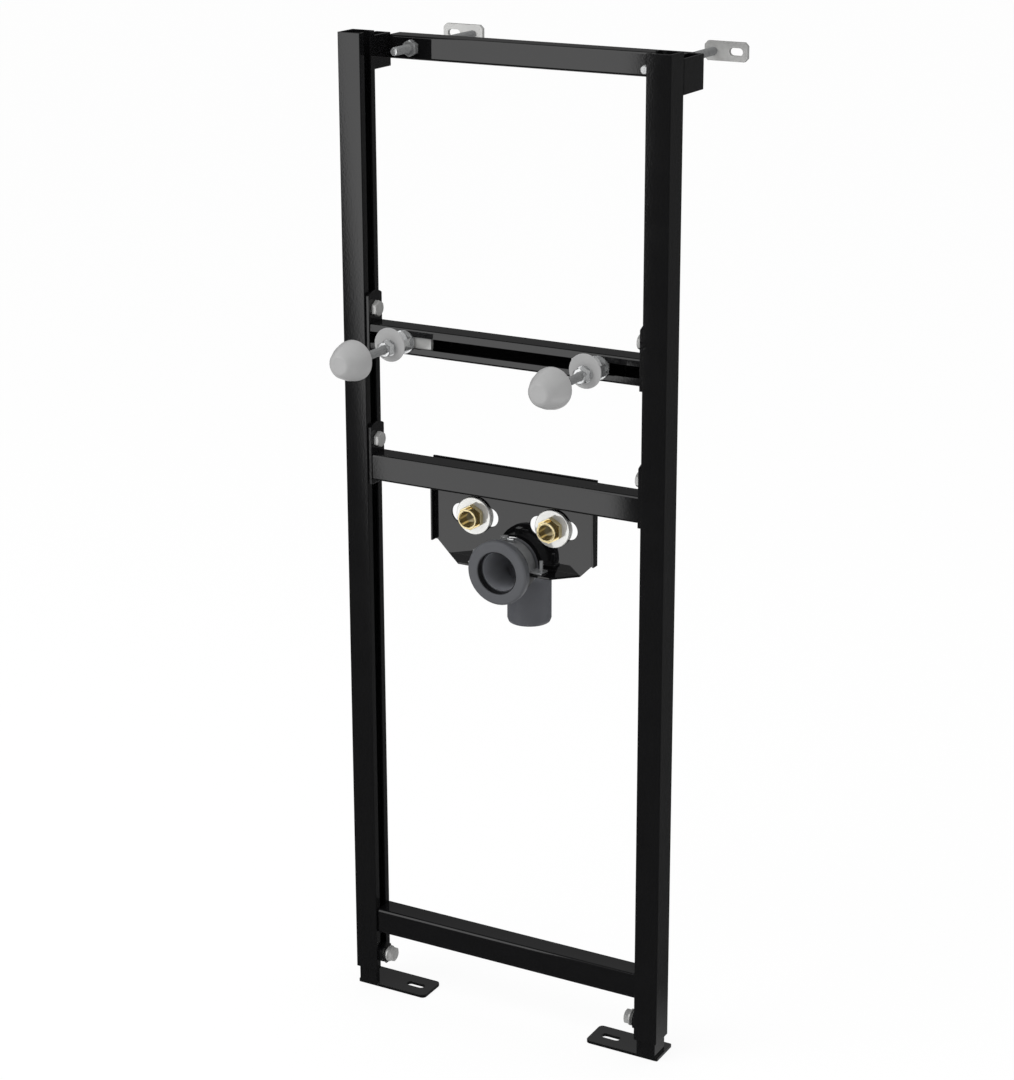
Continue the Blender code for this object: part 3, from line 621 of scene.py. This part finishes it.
def makeFloor():
    # it glows for the camera alone, so that it looks white and still keeps the shadow
    bpy.ops.mesh.primitive_plane_add(size=floorLook["size"], location=(0, 0, 0))
    floor = bpy.context.object
    floor.name = "floor"
    material = bpy.data.materials.new("paleFloor")
    material.use_nodes = True
    tree = material.node_tree
    shader = tree.nodes["Principled BSDF"]
    shader.inputs["Base Color"].default_value = (*floorLook["colour"], 1)
    shader.inputs["Roughness"].default_value = floorLook["roughness"]
    shader.inputs["Specular IOR Level"].default_value = 0
    glow = tree.nodes.new("ShaderNodeEmission")
    path = tree.nodes.new("ShaderNodeLightPath")
    mix = tree.nodes.new("ShaderNodeMixShader")
    share = mathOf(tree, "MULTIPLY", path.outputs["Is Camera Ray"], floorLook["glow"])
    tree.links.new(share, mix.inputs["Fac"])
    tree.links.new(shader.outputs["BSDF"], mix.inputs[1])
    tree.links.new(glow.outputs["Emission"], mix.inputs[2])
    tree.links.new(mix.outputs["Shader"], tree.nodes["Material Output"].inputs["Surface"])
    floor.data.materials.append(material)
    floor.visible_glossy = False


# "level" lights the object, the rest is what its gloss mirrors; each edge of the panel and
# of the bands runs from its first angle to its second, azimuths from -Y towards -X
skyLook = {
    "level": 0.92, "mirroredFront": 0.066, "mirroredBehind": 0.09,
    "panel": {
        "right": (25.34, 25.98), "rightTilt": 0.034, "left": (33.92, 33.31), "leftTilt": -0.085,
        "bottom": (-23.7, -19.3), "top": (58, 48), "level": 1.43,
    },
    "ceiling": {"from": (22, 34), "to": (50, 40), "level": 0.42},
    "ground": {"from": (-27, -33), "to": (-56, -46), "level": 0.8},
}


def mirroredLight(tree):
    # a tall bright panel in front, and a ceiling band and a ground band on a dark wall behind
    place = tree.nodes.new("ShaderNodeTexCoord")
    split = tree.nodes.new("ShaderNodeSeparateXYZ")
    tree.links.new(place.outputs["Generated"], split.inputs["Vector"])
    leftward = mathOf(tree, "MULTIPLY", split.outputs["X"], -1)
    frontward = mathOf(tree, "MULTIPLY", split.outputs["Y"], -1)
    azimuth = mathOf(tree, "ARCTAN2", leftward, frontward)
    height = mathOf(tree, "ARCSINE", split.outputs["Z"])
    behind = mathOf(tree, "GREATER_THAN", split.outputs["Y"], 0)
    panel = skyLook["panel"]
    edges = []
    for side in ("right", "left"):
        slanted = mathOf(tree, "MULTIPLY_ADD", height, panel[side + "Tilt"], azimuth)
        edges.append(rampOf(tree, slanted, *panel[side]))
    for side in ("bottom", "top"):
        edges.append(rampOf(tree, height, *panel[side]))
    inPanel = combine(tree, "MULTIPLY", edges)
    glows = [
        mathOf(tree, "MULTIPLY", inPanel, panel["level"]),
        mathOf(tree, "MULTIPLY", behind, skyLook["mirroredBehind"]),
    ]
    for name in ("ceiling", "ground"):
        band = skyLook[name]
        ramps = [rampOf(tree, height, *band[side]) for side in ("from", "to")]
        inBand = combine(tree, "MULTIPLY", ramps + [behind])
        glows.append(mathOf(tree, "MULTIPLY", inBand, band["level"]))
    return combine(tree, "MAXIMUM", glows + [skyLook["mirroredFront"]])


def makeWorld():
    # white for the camera, even light for matt surfaces, the mirrored light for gloss
    world = bpy.data.worlds.new("studio")
    bpy.context.scene.world = world
    world.use_nodes = True
    tree = world.node_tree
    sky = tree.nodes["Background"]
    sky.inputs["Color"].default_value = (1, 1, 1, 1)
    path = tree.nodes.new("ShaderNodeLightPath")
    choose = tree.nodes.new("ShaderNodeMix")
    choose.inputs["A"].default_value = skyLook["level"]
    tree.links.new(path.outputs["Is Glossy Ray"], choose.inputs["Factor"])
    tree.links.new(mirroredLight(tree), choose.inputs["B"])
    seen = tree.nodes.new("ShaderNodeMix")
    seen.inputs["B"].default_value = 1
    tree.links.new(path.outputs["Is Camera Ray"], seen.inputs["Factor"])
    tree.links.new(choose.outputs["Result"], seen.inputs["A"])
    tree.links.new(seen.outputs["Result"], sky.inputs["Strength"])


lampLook = {"size": 1.6, "power": 30, "place": (-0.9, -1.6, 2.6), "turn": (38, 0, -30)}


def makeLamp():
    bpy.ops.object.light_add(type="AREA", location=lampLook["place"])
    lamp = bpy.context.object
    lamp.data.size = lampLook["size"]
    lamp.data.energy = lampLook["power"]
    lamp.rotation_euler = [math.radians(angle) for angle in lampLook["turn"]]
    lamp.visible_glossy = False
    lamp.visible_camera = False


makeFloor()
makeWorld()
makeLamp()
print("studio ready")

# the photograph's camera: its frame, focal length and centre in its own pixels
view = {
    "place": (1.555702, -2.454618, 1.554547), "turn": (73.637, 0, 28.464), "farthest": 200,
    "width": 1014, "height": 1080, "focal": 2530.013,
    "centreX": 529.507, "centreY": 449.44, "sensor": 36,
}


def makeCamera():
    angles = [math.radians(angle) for angle in view["turn"]]
    bpy.ops.object.camera_add(location=view["place"], rotation=angles)
    camera = bpy.context.object
    camera.data.sensor_width = view["sensor"]
    camera.data.lens = view["focal"] * view["sensor"] / view["height"]
    camera.data.shift_x = (view["width"] / 2 - view["centreX"]) / view["height"]
    camera.data.shift_y = (view["centreY"] - view["height"] / 2) / view["height"]
    camera.data.clip_end = view["farthest"]
    bpy.context.scene.camera = camera


makeCamera()
bpy.context.scene.view_settings.view_transform = "Standard"
